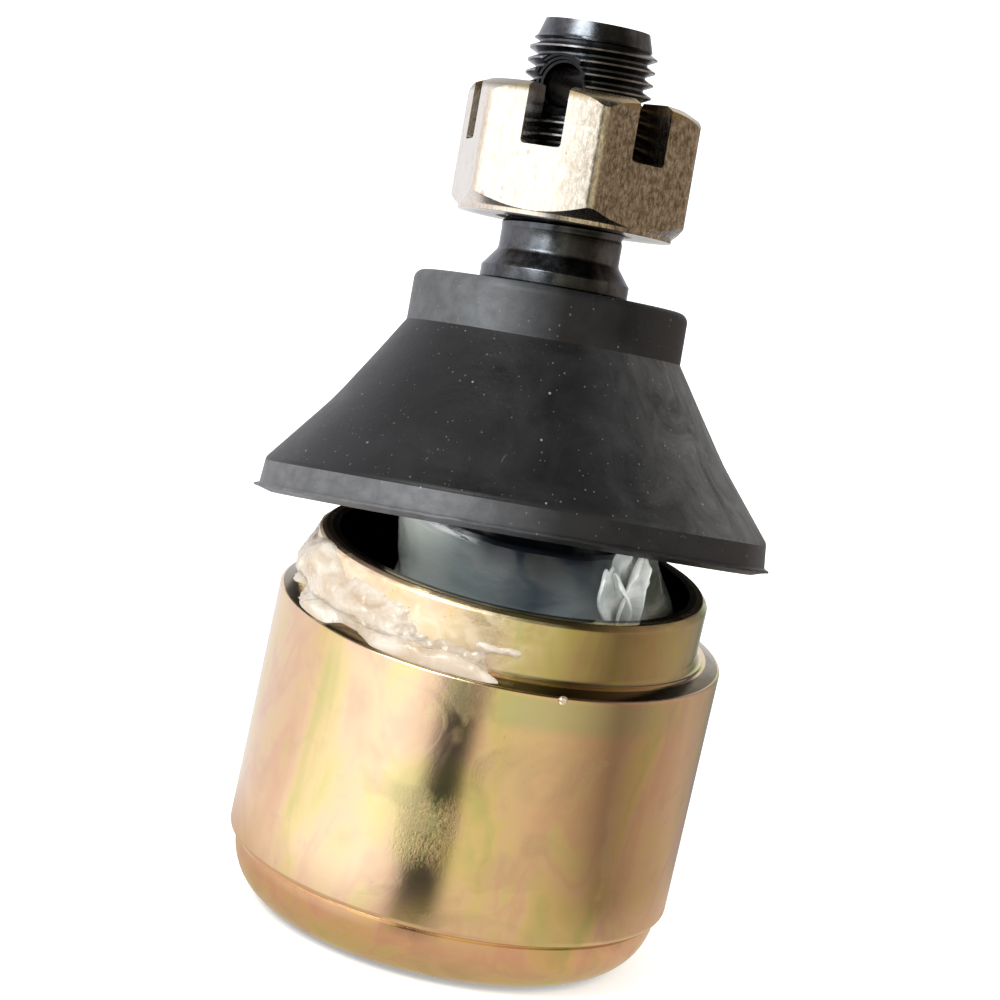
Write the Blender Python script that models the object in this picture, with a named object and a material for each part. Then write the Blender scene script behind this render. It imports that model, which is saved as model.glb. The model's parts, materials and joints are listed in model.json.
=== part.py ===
"""Press-in ball joint: a plated steel cartridge with a leaning ball stud, a slotted nut and an umbrella boot.

Units are metres and +Z runs up the housing. The origin is the middle of the closed bottom.
Everything above the socket is drawn about the centre of the ball, along the stud's own axis,
and hangs from one empty that holds the stud's lean.
"""

import math

import bmesh
import bpy
from mathutils import Matrix

MM = 0.001

# Fits
GAP = 0.3 * MM                    # between two pieces that touch on the real joint
SEGMENTS = 64                     # facets round the large turned pieces
SMALL_SEGMENTS = 48               # facets round the small ones

# Housing, outside
BODY_RADIUS = 24.7 * MM
BODY_RISE = 14.36 * MM            # from the ball's centre to the top edge of the straight side
SHOULDER_RISE = 0.75 * MM         # the shoulder climbs this much from that edge to the collar
COLLAR_RADIUS = 21.75 * MM
COLLAR_WALL = 2.1 * MM
COLLAR_HEIGHT = 7.5 * MM          # above the top edge of the straight side
COLLAR_CHAMFER = 0.75 * MM
COLLAR_FILLET = 0.8 * MM
ROLL_HEIGHT = 6.65 * MM           # the skirt is rolled in over this height
ROLL_REACH = 5.4 * MM             # and by this much
ROLL_STEP = 0.9 * MM              # rounding where the straight side meets the roll
ROLL_WALL = 1.8 * MM
ROLL_LIP = 3.0 * MM               # flat width of the rolled lip that the joint stands on

# Housing, inside
BODY_WALL = 4.5 * MM
TOP_WALL = 3.4 * MM
MOUTH_CHAMFER = 0.8 * MM

# Ball stud
BALL_RADIUS = 14.29 * MM
NECK_RADIUS = 7.5 * MM
NECK_RISE = 36.94 * MM            # top edge of the straight side to the underside of the flange
FLANGE_REACH = 1.53 * MM          # the flange stands out this far round the shank
FLANGE_HEIGHT = 1.55 * MM
FLANGE_FLARE = 1.95 * MM          # height of the slope from the flange up to the shank
SHANK_RADIUS = 6.75 * MM
THREAD_RISE = 0.35 * MM           # the rolled thread stands this far above the shank
THREAD_START = 3.2 * MM           # above the top of the slope
SHANK_LENGTH = 25.9 * MM          # top of the slope to the end of the thread
TIP_STEP = 1.25 * MM              # the end of the thread is this much smaller
TIP_CHAMFER = 1.6 * MM
COTTER_RADIUS = 2.2 * MM
COTTER_DROP = 6.8 * MM            # cotter hole below the end of the thread
COTTER_TURN = math.radians(-30.6)

# How the stud stands in the housing
STUD_LEAN = math.radians(14.6)
LEAN_TURN = math.radians(10.6)    # turns the lean away from +Y towards -X
FULL_TILT = math.radians(25.0)    # largest lean that the mouth has to let through

# Slotted nut
NUT_FLATS = 24.2 * MM
NUT_HEIGHT = 14.6 * MM
NUT_LIFT = 3.5 * MM               # above the top of the slope
NUT_SLOT_WIDTH = 4.7 * MM
NUT_SLOT_DEPTH = 6.2 * MM
NUT_TURN = math.radians(-19.2)    # one flat's bearing from the side that faces -Y
NUT_CHAMFER = 1.3 * MM

# Dust boot
BOOT_HUB_RADIUS = 15.35 * MM
BOOT_HUB_HEIGHT = 5.6 * MM
BOOT_RIM_RADIUS = 28.3 * MM
BOOT_HEIGHT = 26.9 * MM           # top of the hub to the bottom of the rim
BOOT_BAND = 3.4 * MM              # height of the straight rim band
BOOT_ROUND = 1.1 * MM
BOOT_WALL = 2.2 * MM
BOOT_LIP = 0.5 * MM               # the moulding lip stands out this far round the rim
BOOT_LIP_HEIGHT = 0.4 * MM

# Socket
RACE_MARGIN = math.radians(1.6)   # kept between the leaning neck and the edge of the ball's seat
EQUATOR_GAP = 1.2 * MM            # between the upper race and the lower seat
SEAT_OPENING = math.radians(38.0)  # half angle of the hole under the ball
COVER_THICKNESS = 1.8 * MM
COVER_BOSS_RADIUS = 9.0 * MM
SPRING_HEIGHT = 1.7 * MM
SPRING_THICKNESS = 1.0 * MM
SPRING_INNER_RADIUS = 9.0 * MM
PLATE_THICKNESS = 1.6 * MM
PLATE_INNER_RADIUS = 8.6 * MM
BALL_DIP = 1.45 * MM              # the ball reaches this far below the top of the pressure plate

# Grease
NECK_GREASE = 0.7 * MM            # thickness of the coat on the neck
WELL_GREASE_HEIGHT = 2.4 * MM
SMEAR_THICKNESS = 0.35 * MM
SMEAR_START = math.radians(186.0)
SMEAR_END = math.radians(262.0)

# Heights along the housing
BORE_RADIUS = BODY_RADIUS - BODY_WALL
COVER_Z = ROLL_WALL + GAP
SPRING_Z = COVER_Z + COVER_THICKNESS + GAP
PLATE_Z = SPRING_Z + SPRING_HEIGHT + GAP
SEAT_Z = PLATE_Z + PLATE_THICKNESS + GAP
BALL_Z = PLATE_Z + PLATE_THICKNESS - BALL_DIP + BALL_RADIUS
BODY_HEIGHT = BALL_Z + BODY_RISE
SHOULDER_Z = BODY_HEIGHT + SHOULDER_RISE
COLLAR_TOP_Z = BODY_HEIGHT + COLLAR_HEIGHT
COLLAR_BORE = COLLAR_RADIUS - COLLAR_WALL
WELL_FLOOR_Z = BODY_HEIGHT
TOP_WALL_Z = WELL_FLOOR_Z - TOP_WALL
LIP_OUTER = BODY_RADIUS - ROLL_STEP - ROLL_REACH
LIP_INNER = LIP_OUTER - ROLL_LIP
INSERT_RADIUS = BORE_RADIUS - GAP

# Sizes along the stud, heights from the ball's centre
THREAD_RADIUS = SHANK_RADIUS + THREAD_RISE
TIP_RADIUS = THREAD_RADIUS - TIP_STEP
FLANGE_RADIUS = SHANK_RADIUS + FLANGE_REACH
NECK_LENGTH = BODY_RISE + NECK_RISE
FLANGE_TOP = NECK_LENGTH + FLANGE_HEIGHT
SHANK_START = FLANGE_TOP + FLANGE_FLARE
TIP_HEIGHT = SHANK_START + SHANK_LENGTH
NUT_BOTTOM = SHANK_START + NUT_LIFT
BOOT_TOP = NECK_LENGTH - GAP
BOOT_HUB_BOTTOM = BOOT_TOP - BOOT_HUB_HEIGHT
BOOT_BOTTOM = BOOT_TOP - BOOT_HEIGHT


def neck_sweep(height, radius=NECK_RADIUS):
    """Radius swept at a height above the ball's centre by a neck of that radius at full tilt."""
    return height * math.tan(FULL_TILT) + radius / math.cos(FULL_TILT)


# What depends on the full tilt
MOUTH_RADIUS = neck_sweep(WELL_FLOOR_Z - BALL_Z) + GAP
COAT_RADIUS = NECK_RADIUS + GAP + NECK_GREASE
COAT_CLEAR = WELL_FLOOR_Z - BALL_Z + 2.0 * GAP
COAT_BOTTOM = (COAT_CLEAR + COAT_RADIUS * math.sin(FULL_TILT)) / math.cos(FULL_TILT)


def material(name, colour, roughness, metallic):
    made = bpy.data.materials.new(name)
    made.use_nodes = True
    shader = made.node_tree.nodes["Principled BSDF"]
    shader.inputs["Base Color"].default_value = (*colour, 1.0)
    shader.inputs["Roughness"].default_value = roughness
    shader.inputs["Metallic"].default_value = metallic
    made.diffuse_color = (*colour, 1.0)
    return made


def arc(centre, radius, start, end, steps):
    """Points of a circular arc in the (radius, height) plane, angles in degrees, both ends included."""
    points = []
    for step in range(steps + 1):
        angle = math.radians(start + (end - start) * step / steps)
        points.append((centre[0] + radius * math.cos(angle), centre[1] + radius * math.sin(angle)))
    return points


def quarter_roll(outer, inner, top, steps):
    """Quarter ellipse from the outer radius at height top down to the inner radius at height 0."""
    points = []
    for step in range(steps + 1):
        angle = math.radians(90.0 * step / steps)
        points.append((inner + (outer - inner) * math.cos(angle), top * (1.0 - math.sin(angle))))
    return points


def finish_mesh(mesh, bm):
    bmesh.ops.remove_doubles(bm, verts=bm.verts, dist=1e-7)
    bmesh.ops.recalc_face_normals(bm, faces=bm.faces)
    bm.to_mesh(mesh)
    bm.free()
    mesh.shade_smooth()
    mesh.set_sharp_from_angle(angle=math.radians(32.0))


def turned_mesh(name, outline, segments, start=0.0, end=2.0 * math.pi):
    """Spins an outline of (radius, height) points about Z: down the outer side, then up the inner one."""
    mesh = bpy.data.meshes.new(name)
    bm = bmesh.new()
    points = [bm.verts.new((radius, 0.0, height)) for radius, height in outline]
    edges = [bm.edges.new(pair) for pair in zip(points, points[1:])]
    if outline[0][0] > 0.0:
        edges.append(bm.edges.new((points[-1], points[0])))
    full_turn = end - start > 6.28
    sector = points + edges
    if not full_turn:
        sector.append(bm.faces.new(points))
    bmesh.ops.rotate(bm, verts=points, cent=(0, 0, 0), matrix=Matrix.Rotation(start, 3, "Z"))
    made = bmesh.ops.spin(
        bm, geom=sector, cent=(0, 0, 0), axis=(0, 0, 1),
        angle=end - start, steps=segments, use_merge=full_turn,
    )
    if not full_turn:
        last = [item for item in made["geom_last"] if isinstance(item, bmesh.types.BMVert)]
        if not any(isinstance(item, bmesh.types.BMFace) for item in made["geom_last"]):
            bm.faces.new(last)
    finish_mesh(mesh, bm)
    return mesh


def add_object(name, mesh, finish, parent=None, location=(0.0, 0.0, 0.0)):
    made = bpy.data.objects.new(name, mesh)
    bpy.context.scene.collection.objects.link(made)
    if finish is not None:
        mesh.materials.append(finish)
    made.location = location
    made.parent = parent
    return made


def as_cutter(made):
    made.hide_render = True
    made.display_type = "WIRE"
    return made


def boolean(target, tool, operation="DIFFERENCE"):
    modifier = target.modifiers.new(tool.name, "BOOLEAN")
    modifier.operation = operation
    modifier.solver = "EXACT"
    modifier.object = tool


def build_housing(finish):
    """Plated steel cup: collar round the well, conical shoulder, and a skirt rolled in under the cover."""
    side_bottom = ROLL_HEIGHT + ROLL_STEP
    outline = [
        (COLLAR_BORE, COLLAR_TOP_Z),
        (COLLAR_RADIUS - COLLAR_CHAMFER, COLLAR_TOP_Z),
        (COLLAR_RADIUS, COLLAR_TOP_Z - COLLAR_CHAMFER),
    ]
    fillet_centre = (COLLAR_RADIUS + COLLAR_FILLET, SHOULDER_Z + COLLAR_FILLET)
    outline += arc(fillet_centre, COLLAR_FILLET, 180, 270, 4)
    outline.append((BODY_RADIUS, BODY_HEIGHT))
    outline += arc((BODY_RADIUS - ROLL_STEP, side_bottom), ROLL_STEP, 0, -90, 4)
    outline += quarter_roll(BODY_RADIUS - ROLL_STEP, LIP_OUTER, ROLL_HEIGHT, 8)[1:]
    outline += [
        (LIP_INNER, 0.0),
        (LIP_INNER, ROLL_WALL),
        (BORE_RADIUS, ROLL_WALL),
        (BORE_RADIUS, TOP_WALL_Z),
        (MOUTH_RADIUS, TOP_WALL_Z),
        (MOUTH_RADIUS, WELL_FLOOR_Z - MOUTH_CHAMFER),
        (MOUTH_RADIUS + MOUTH_CHAMFER, WELL_FLOOR_Z),
        (COLLAR_BORE, WELL_FLOOR_Z),
    ]
    return add_object("housing", turned_mesh("housing", outline, SEGMENTS), finish)


def build_cover_plate(finish):
    """Disc that closes the bottom, held by the rolled lip, with its middle pressed flush with the lip."""
    rim = LIP_INNER - GAP
    boss = min(COVER_BOSS_RADIUS, rim - COVER_Z)
    outline = [
        (0.0, COVER_Z + COVER_THICKNESS),
        (INSERT_RADIUS, COVER_Z + COVER_THICKNESS),
        (INSERT_RADIUS, COVER_Z),
        (rim, COVER_Z),
        (boss + COVER_Z, COVER_Z),
        (boss, 0.0),
        (0.0, 0.0),
    ]
    return add_object("cover_plate", turned_mesh("cover_plate", outline, SMALL_SEGMENTS), finish)


def build_preload_spring(finish):
    """Belleville washer: a shallow cone, outer edge on the cover and inner edge under the plate."""
    outer = INSERT_RADIUS - 2.0 * GAP
    slope = SPRING_HEIGHT - SPRING_THICKNESS
    outline = [
        (outer, SPRING_THICKNESS),
        (outer, 0.0),
        (SPRING_INNER_RADIUS, slope),
        (SPRING_INNER_RADIUS, SPRING_HEIGHT),
    ]
    mesh = turned_mesh("preload_spring", outline, SMALL_SEGMENTS)
    return add_object("preload_spring", mesh, finish, location=(0.0, 0.0, SPRING_Z))


def build_pressure_plate(finish):
    """Flat ring that passes the spring's push to the lower seat and leaves room for the ball."""
    outline = [
        (INSERT_RADIUS, PLATE_THICKNESS),
        (INSERT_RADIUS, 0.0),
        (PLATE_INNER_RADIUS, 0.0),
        (PLATE_INNER_RADIUS, PLATE_THICKNESS),
    ]
    mesh = turned_mesh("pressure_plate", outline, SMALL_SEGMENTS)
    return add_object("pressure_plate", mesh, finish, location=(0.0, 0.0, PLATE_Z))


def build_lower_bearing_seat(finish):
    """Plastic cup under the ball, drawn about the ball's centre."""
    hollow = BALL_RADIUS + GAP
    top = -EQUATOR_GAP / 2.0
    bottom = SEAT_Z - BALL_Z
    start = math.degrees(-math.pi / 2.0 + SEAT_OPENING)
    outline = [(INSERT_RADIUS, top), (INSERT_RADIUS, bottom)]
    ball_wall = arc((0.0, 0.0), hollow, start, math.degrees(math.asin(top / hollow)), 8)
    outline.append((ball_wall[0][0], bottom))
    outline += ball_wall
    mesh = turned_mesh("lower_bearing_seat", outline, SMALL_SEGMENTS)
    return add_object("lower_bearing_seat", mesh, finish, location=(0.0, 0.0, BALL_Z))


def build_upper_bearing_race(finish):
    """Hard ring over the ball. Its seat stops where the neck would reach it at full tilt."""
    hollow = BALL_RADIUS + GAP
    bottom = EQUATOR_GAP / 2.0
    top = TOP_WALL_Z - GAP - BALL_Z
    neck_edge = math.asin(NECK_RADIUS / BALL_RADIUS) + FULL_TILT + RACE_MARGIN
    end = 90.0 - math.degrees(neck_edge)
    ball_wall = arc((0.0, 0.0), hollow, math.degrees(math.asin(bottom / hollow)), end, 6)
    outline = [(INSERT_RADIUS, top), (INSERT_RADIUS, bottom)]
    outline += ball_wall
    outline.append((max(neck_sweep(top) + 2.0 * GAP, ball_wall[-1][0]), top))
    mesh = turned_mesh("upper_bearing_race", outline, SMALL_SEGMENTS)
    return add_object("upper_bearing_race", mesh, finish, location=(0.0, 0.0, BALL_Z))


def build_socket_grease(finish):
    """Ring of grease in the gap at the ball's equator."""
    thickness = EQUATOR_GAP - 2.0 * GAP
    outer = INSERT_RADIUS - GAP
    inner = BALL_RADIUS + 2.0 * GAP
    half = thickness / 2.0
    outline = [(outer, half), (outer, -half), (inner, -half), (inner, half)]
    mesh = turned_mesh("socket_grease", outline, SMALL_SEGMENTS)
    return add_object("socket_grease", mesh, finish, location=(0.0, 0.0, BALL_Z))


def build_well_grease(finish):
    """Grease left round the wall of the collar's well, outside the sweep of the coated neck."""
    bottom = WELL_FLOOR_Z + GAP
    top = bottom + WELL_GREASE_HEIGHT
    outer = COLLAR_BORE - GAP
    inner = max(neck_sweep(top - BALL_Z, COAT_RADIUS), MOUTH_RADIUS + MOUTH_CHAMFER) + GAP
    outline = [(outer, top), (outer, bottom), (inner, bottom), (inner, top)]
    return add_object("well_grease", turned_mesh("well_grease", outline, SMALL_SEGMENTS), finish)


def build_collar_smear(finish):
    """Thin smear of grease on the outside of the collar, down on to the shoulder."""
    inner = COLLAR_RADIUS + GAP
    outer = inner + SMEAR_THICKNESS
    foot = SHOULDER_Z + COLLAR_FILLET + GAP
    top = COLLAR_TOP_Z - COLLAR_CHAMFER
    outline = [(outer, top), (outer, foot), (inner, foot), (inner, top)]
    mesh = turned_mesh("collar_smear", outline, 14, SMEAR_START, SMEAR_END)
    return add_object("collar_smear", mesh, finish)


def stud_axis_empty():
    """Empty at the ball's centre whose Z is the stud's axis."""
    empty = bpy.data.objects.new("stud_axis", None)
    bpy.context.scene.collection.objects.link(empty)
    empty.location = (0.0, 0.0, BALL_Z)
    turn = Matrix.Rotation(LEAN_TURN, 4, "Z")
    lean = Matrix.Rotation(-STUD_LEAN, 4, "X")
    empty.rotation_euler = (turn @ lean @ turn.inverted()).to_euler()
    return empty


def build_ball_stud(finish, parent):
    """Ball, neck, flange, shank and thread in one forging, with a cotter hole across the thread."""
    neck_start = math.sqrt(BALL_RADIUS ** 2 - NECK_RADIUS ** 2)
    first = math.degrees(math.atan2(neck_start, NECK_RADIUS))
    thread_bottom = SHANK_START + THREAD_START
    outline = [
        (0.0, TIP_HEIGHT),
        (TIP_RADIUS, TIP_HEIGHT),
        (THREAD_RADIUS, TIP_HEIGHT - TIP_CHAMFER),
        (THREAD_RADIUS, thread_bottom),
        (SHANK_RADIUS, thread_bottom - (THREAD_RADIUS - SHANK_RADIUS)),
        (SHANK_RADIUS, SHANK_START),
        (FLANGE_RADIUS, FLANGE_TOP),
        (FLANGE_RADIUS, NECK_LENGTH),
        (NECK_RADIUS, NECK_LENGTH),
    ]
    ball = arc((0.0, 0.0), BALL_RADIUS, first, -90, 15)
    outline += ball[:-1]
    outline.append((0.0, -BALL_RADIUS))
    stud = add_object("ball_stud", turned_mesh("ball_stud", outline, SMALL_SEGMENTS), finish, parent)

    length = 4.0 * THREAD_RADIUS
    mesh = bpy.data.meshes.new("cotter_hole")
    bm = bmesh.new()
    bmesh.ops.create_cone(
        bm, cap_ends=True, segments=20, radius1=COTTER_RADIUS, radius2=COTTER_RADIUS, depth=length,
    )
    bmesh.ops.rotate(bm, verts=bm.verts, cent=(0, 0, 0), matrix=Matrix.Rotation(math.pi / 2, 3, "X"))
    finish_mesh(mesh, bm)
    hole = as_cutter(add_object("cotter_hole", mesh, None, parent))
    hole.location = (0.0, 0.0, TIP_HEIGHT - COTTER_DROP)
    hole.rotation_euler = (0.0, 0.0, COTTER_TURN)
    boolean(stud, hole)
    return stud


def build_slotted_nut(finish, parent):
    """Hexagon nut with both ends chamfered and six slots cut across its top."""
    corner = NUT_FLATS / 2.0 / math.cos(math.pi / 6.0)
    mesh = bpy.data.meshes.new("castle_nut")
    bm = bmesh.new()
    bmesh.ops.create_cone(
        bm, cap_ends=True, segments=6, radius1=corner, radius2=corner, depth=NUT_HEIGHT,
    )
    bmesh.ops.rotate(bm, verts=bm.verts, cent=(0, 0, 0), matrix=Matrix.Rotation(math.pi / 6, 3, "Z"))
    bmesh.ops.translate(bm, verts=bm.verts, vec=(0.0, 0.0, NUT_HEIGHT / 2.0))
    finish_mesh(mesh, bm)
    nut = add_object("castle_nut", mesh, finish, parent, (0.0, 0.0, NUT_BOTTOM))
    nut.rotation_euler = (0.0, 0.0, NUT_TURN)

    face = NUT_FLATS / 2.0 - 0.2 * MM
    full = face + (corner - face) * 2.2
    drop = NUT_CHAMFER * 2.2
    blank = [
        (0.0, NUT_HEIGHT),
        (face, NUT_HEIGHT),
        (full, NUT_HEIGHT - drop),
        (full, drop),
        (face, 0.0),
        (0.0, 0.0),
    ]
    chamfer = as_cutter(add_object("nut_chamfer", turned_mesh("nut_chamfer", blank, 36), None, nut))
    boolean(nut, chamfer, "INTERSECT")

    bore = THREAD_RADIUS + GAP
    drill = [(0.0, NUT_HEIGHT + MM), (bore, NUT_HEIGHT + MM), (bore, -MM), (0.0, -MM)]
    boolean(nut, as_cutter(add_object("nut_bore", turned_mesh("nut_bore", drill, 36), None, nut)))

    reach = 1.5 * corner
    for index in range(6):
        name = f"nut_slot_{index + 1}"
        slot_mesh = bpy.data.meshes.new(name)
        bm = bmesh.new()
        bmesh.ops.create_cube(bm, size=1.0)
        size = (NUT_SLOT_WIDTH, reach - bore / 2.0, 2.0 * NUT_SLOT_DEPTH)
        bmesh.ops.scale(bm, verts=bm.verts, vec=size)
        bmesh.ops.translate(bm, verts=bm.verts, vec=(0.0, (reach + bore / 2.0) / 2.0, 0.0))
        finish_mesh(slot_mesh, bm)
        slot = as_cutter(add_object(name, slot_mesh, None, nut, (0.0, 0.0, NUT_HEIGHT)))
        slot.rotation_euler = (0.0, 0.0, index * math.pi / 3.0)
        boolean(nut, slot)
    return nut


def build_dust_boot(finish, parent):
    """Umbrella of rubber: a hub on the neck, a flared skirt and a straight rim with a moulding lip."""
    bore = NECK_RADIUS + GAP
    band_top = BOOT_BOTTOM + BOOT_BAND
    inner_rim = BOOT_RIM_RADIUS - BOOT_WALL
    inner_hub = BOOT_HUB_RADIUS - BOOT_WALL
    roof = BOOT_HUB_BOTTOM - BOOT_WALL / 2.0
    hub_corner = (BOOT_HUB_RADIUS - BOOT_ROUND, BOOT_TOP - BOOT_ROUND)
    rim_corner = (BOOT_RIM_RADIUS - BOOT_ROUND, band_top - BOOT_ROUND / 2.0)
    skirt = (BOOT_RIM_RADIUS - BOOT_ROUND * 0.9, band_top + BOOT_ROUND * 0.2)
    sag = 0.5 * MM
    middle = (
        (BOOT_HUB_RADIUS + skirt[0]) / 2.0 - sag,
        (BOOT_HUB_BOTTOM + skirt[1]) / 2.0 - sag,
    )
    outline = [(bore, BOOT_TOP)]
    outline += arc(hub_corner, BOOT_ROUND, 90, 0, 4)
    outline += [(BOOT_HUB_RADIUS, BOOT_HUB_BOTTOM), middle]
    outline += arc(rim_corner, BOOT_ROUND, 40, 0, 3)
    outline += [
        (BOOT_RIM_RADIUS, BOOT_BOTTOM + 2.0 * BOOT_LIP_HEIGHT),
        (BOOT_RIM_RADIUS + BOOT_LIP, BOOT_BOTTOM + BOOT_LIP_HEIGHT),
        (BOOT_RIM_RADIUS + BOOT_LIP, BOOT_BOTTOM),
        (inner_rim, BOOT_BOTTOM),
        (inner_rim, band_top - BOOT_ROUND),
        (middle[0] - BOOT_WALL, middle[1] - BOOT_WALL * 0.7),
        (inner_hub, roof - BOOT_WALL),
        (bore + BOOT_WALL, roof),
        (bore, roof),
    ]
    return add_object("dust_boot", turned_mesh("dust_boot", outline, SEGMENTS), finish, parent)


def build_neck_grease(finish, parent):
    """Coat of grease on the neck, from over the well up to the roof of the boot."""
    inner = NECK_RADIUS + GAP
    top = BOOT_HUB_BOTTOM - BOOT_WALL / 2.0 - GAP
    outline = [(COAT_RADIUS, top), (COAT_RADIUS, COAT_BOTTOM), (inner, COAT_BOTTOM), (inner, top)]
    mesh = turned_mesh("neck_grease", outline, SMALL_SEGMENTS)
    return add_object("neck_grease", mesh, finish, parent)


def main():
    for old in list(bpy.data.objects):
        bpy.data.objects.remove(old, do_unlink=True)

    zinc = material("zinc_chromate_steel", (0.72, 0.56, 0.30), 0.28, 1.0)
    nut_zinc = material("nut_zinc", (0.70, 0.62, 0.46), 0.32, 1.0)
    cover_steel = material("cover_steel", (0.66, 0.54, 0.32), 0.35, 1.0)
    black_oxide = material("black_oxide_steel", (0.05, 0.05, 0.055), 0.38, 0.9)
    rubber = material("boot_rubber", (0.035, 0.037, 0.042), 0.55, 0.0)
    bearing_steel = material("bearing_steel", (0.45, 0.45, 0.46), 0.35, 1.0)
    bearing_plastic = material("bearing_plastic", (0.86, 0.84, 0.76), 0.45, 0.0)
    spring_steel = material("spring_steel", (0.30, 0.31, 0.33), 0.35, 1.0)
    plate_steel = material("plate_steel", (0.52, 0.53, 0.55), 0.35, 1.0)
    grease = material("white_grease", (0.62, 0.66, 0.66), 0.18, 0.0)
    neck_grease = material("neck_grease_white", (0.58, 0.63, 0.64), 0.18, 0.0)
    socket_grease = material("socket_grease_white", (0.66, 0.66, 0.62), 0.25, 0.0)
    smear = material("smeared_grease", (0.80, 0.72, 0.58), 0.35, 0.0)

    build_housing(zinc)
    build_cover_plate(cover_steel)
    build_preload_spring(spring_steel)
    build_pressure_plate(plate_steel)
    build_lower_bearing_seat(bearing_plastic)
    build_socket_grease(socket_grease)
    build_upper_bearing_race(bearing_steel)
    build_well_grease(grease)
    build_collar_smear(smear)

    stud_axis = stud_axis_empty()
    build_ball_stud(black_oxide, stud_axis)
    build_slotted_nut(nut_zinc, stud_axis)
    build_dust_boot(rubber, stud_axis)
    build_neck_grease(neck_grease, stud_axis)


main()
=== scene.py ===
"""Looks of a press-in ball joint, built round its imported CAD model.

Lengths are written in millimetres and turned into metres as a mesh is made. Pieces on the stud are
drawn about the ball's centre, along the stud's own axis, and placed by one matrix.
"""

import json
import math

import bmesh
import bpy
from mathutils import Matrix, Vector, noise


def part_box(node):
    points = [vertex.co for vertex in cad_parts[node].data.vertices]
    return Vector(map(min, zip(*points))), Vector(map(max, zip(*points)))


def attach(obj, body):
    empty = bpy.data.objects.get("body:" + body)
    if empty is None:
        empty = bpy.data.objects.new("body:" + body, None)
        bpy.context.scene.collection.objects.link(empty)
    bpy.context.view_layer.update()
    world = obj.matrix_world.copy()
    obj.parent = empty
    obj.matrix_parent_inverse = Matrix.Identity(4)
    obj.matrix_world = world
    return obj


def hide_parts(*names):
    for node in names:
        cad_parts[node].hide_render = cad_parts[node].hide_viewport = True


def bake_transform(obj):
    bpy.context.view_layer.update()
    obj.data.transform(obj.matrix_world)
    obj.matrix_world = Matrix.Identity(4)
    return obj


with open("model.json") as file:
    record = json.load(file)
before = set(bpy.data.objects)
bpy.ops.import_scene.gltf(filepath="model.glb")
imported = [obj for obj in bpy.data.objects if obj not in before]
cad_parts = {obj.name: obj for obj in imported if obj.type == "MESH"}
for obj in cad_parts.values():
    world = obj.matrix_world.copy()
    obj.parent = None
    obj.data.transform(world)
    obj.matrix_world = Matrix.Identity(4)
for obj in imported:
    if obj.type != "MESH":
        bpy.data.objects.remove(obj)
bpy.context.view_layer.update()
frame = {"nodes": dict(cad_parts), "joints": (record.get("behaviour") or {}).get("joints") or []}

MM = 0.001
JOINTS = {joint["name"]: joint for joint in frame["joints"]}
BALL = Vector(JOINTS["stud_spin"]["pos_m"])
STUD_AXIS = Vector(JOINTS["stud_spin"]["axis"]).normalized()
STUD_TURN = Vector((0.0, 0.0, 1.0)).rotation_difference(STUD_AXIS).to_matrix().to_4x4()
STUD = Matrix.Translation(BALL) @ STUD_TURN
UPRIGHT = Matrix.Identity(4)

# Housing, in mm up its own axis
BODY_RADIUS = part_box("housing")[1].x / MM
RIM_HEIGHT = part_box("housing")[1].z / MM
BODY_TOP = 35.0
COLLAR_RADIUS = 21.75
COLLAR_BORE = 19.65
SHOULDER_TOP = 35.8
WELL_FLOOR = 35.0
MOUTH_RADIUS = 15.27
BORE_RADIUS = 20.2
TOP_WALL = 31.6
ROLL_TOP = 6.1
ROLL_INNER = 18.4
LIP_RADIUS = 15.4
LIP_THICKNESS = 1.8
SLOPE_MIDDLE = 23.65  # the shoulder's slope, painted dark as shade
SLOPE_HALF = 0.72

# Stud, in mm from the ball's centre
BALL_RADIUS = 14.29
NECK_RADIUS = 7.5
FLANGE_BOTTOM = 51.3
FLANGE_TOP = 52.85
FLANGE_RADIUS = 8.28
SHANK_START = 54.8
SHANK_RADIUS = 6.75
THREAD_START = 57.2
THREAD_CREST = 7.12
THREAD_ROOT = 6.1
THREAD_PITCH = 1.411
TIP = 80.7
TIP_RADIUS = 5.85
COTTER_HEIGHT = 73.3
COTTER_RADIUS = 2.2
COTTER_SINK = 3.9
COTTER_TURN = math.radians(-30.9)

# Slotted nut
NUT_BOTTOM = 58.3
NUT_HEIGHT = 14.6
NUT_FLATS = 24.2
NUT_BORE = 6.35
NUT_TURN = math.radians(-19.5)
SLOT_WIDTH = 4.7
SLOT_DEPTH = 6.9

# Boot
BOOT_TOP = 51.0
BOOT_HUB = 15.35
BOOT_HUB_BOTTOM = 45.3
BOOT_RIM = 28.3
BOOT_BAND_TOP = 27.5
BOOT_BOTTOM = 24.25
BOOT_BORE = 7.8

# Grease: the plug in the well, petals torn off its right side, and lumps smeared on the collar
PLUG_CENTRE = (2.8, 0.3)
PLUG_RADIUS = 15.4
PLUG_TOP = 47.9
# bearing, width, low end, high end, lean outward, cup, sideways drift
CURL_PETALS = [
    (38.0, 4.4, 40.0, 48.3, 1.5, 1.2, -3.7),
    (39.0, 2.8, 41.0, 49.8, 0.7, -0.7, -1.8),
    (41.0, 3.4, 38.3, 50.2, 1.4, 1.0, -0.5),
    (44.0, 2.2, 38.0, 46.5, 0.5, -0.8, 0.3),
]
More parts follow.
